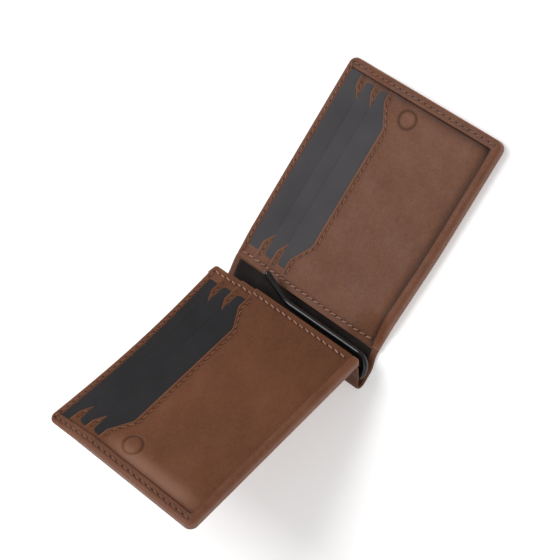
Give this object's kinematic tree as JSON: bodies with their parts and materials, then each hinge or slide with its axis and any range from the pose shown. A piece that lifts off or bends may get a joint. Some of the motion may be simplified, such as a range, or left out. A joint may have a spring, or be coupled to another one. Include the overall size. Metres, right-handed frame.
{
  "type": "money clip wallet",
  "caption": "Bifold leather money clip wallet, half open: stepped card pockets inside both panels and a black wire note clip that swings in the spine.",
  "frame": {"origin": "centre of the back panel's outer face, which lies flat", "axes": "-Z out of the back face, +X from the spine to the back panel's outer edge, Y along the spine with the pocket mouths towards +Y"},
  "size_m": [0.1834, 0.0786, 0.074],
  "materials": {
    "leather_brown": "satin",
    "leather_dark": "matte",
    "lining_dark": "matte",
    "thread_brown": "matte",
    "clip_black": "gloss"
  },
  "bodies": {
    "back_panel": {"back_cover": "leather_brown", "back_base_lining": "lining_dark", "back_slot_1_facing": "leather_brown", "back_slot_2_lining": "lining_dark", "back_slot_2_facing": "leather_brown", "back_slot_3_lining": "lining_dark", "back_slot_3_facing": "leather_brown", "back_edge_thread": "thread_brown", "back_mouth_thread": "thread_brown"},
    "front_panel": {"front_cover": "leather_brown", "front_base_lining": "lining_dark", "front_slot_1_facing": "leather_brown", "front_slot_2_lining": "lining_dark", "front_slot_2_facing": "leather_brown", "front_slot_3_lining": "lining_dark", "front_slot_3_facing": "leather_brown", "front_edge_thread": "thread_brown", "front_mouth_thread": "thread_brown"},
    "spine": {"spine_leather": "leather_brown", "spine_lining": "leather_dark", "clip_tunnel": "leather_dark"},
    "clip": {"clip_wire": "clip_black"}
  },
  "joints": [
    {"name": "back_fold", "type": "hinge", "parent": "back_panel", "child": "spine", "pos_m": [-0.0488, 0, 0.00045], "axis": [0, 1, 0], "range_deg": [-60, 28]},
    {"name": "front_fold", "type": "hinge", "parent": "spine", "child": "front_panel", "pos_m": [-0.05584, 0, 0.01369], "axis": [0, 1, 0], "range_deg": [0, 117]},
    {"name": "clip_swing", "type": "hinge", "parent": "spine", "child": "clip", "pos_m": [-0.0623, 0, 0.0022], "axis": [0, 1, 0], "range_deg": [0, 6]}
  ]
}
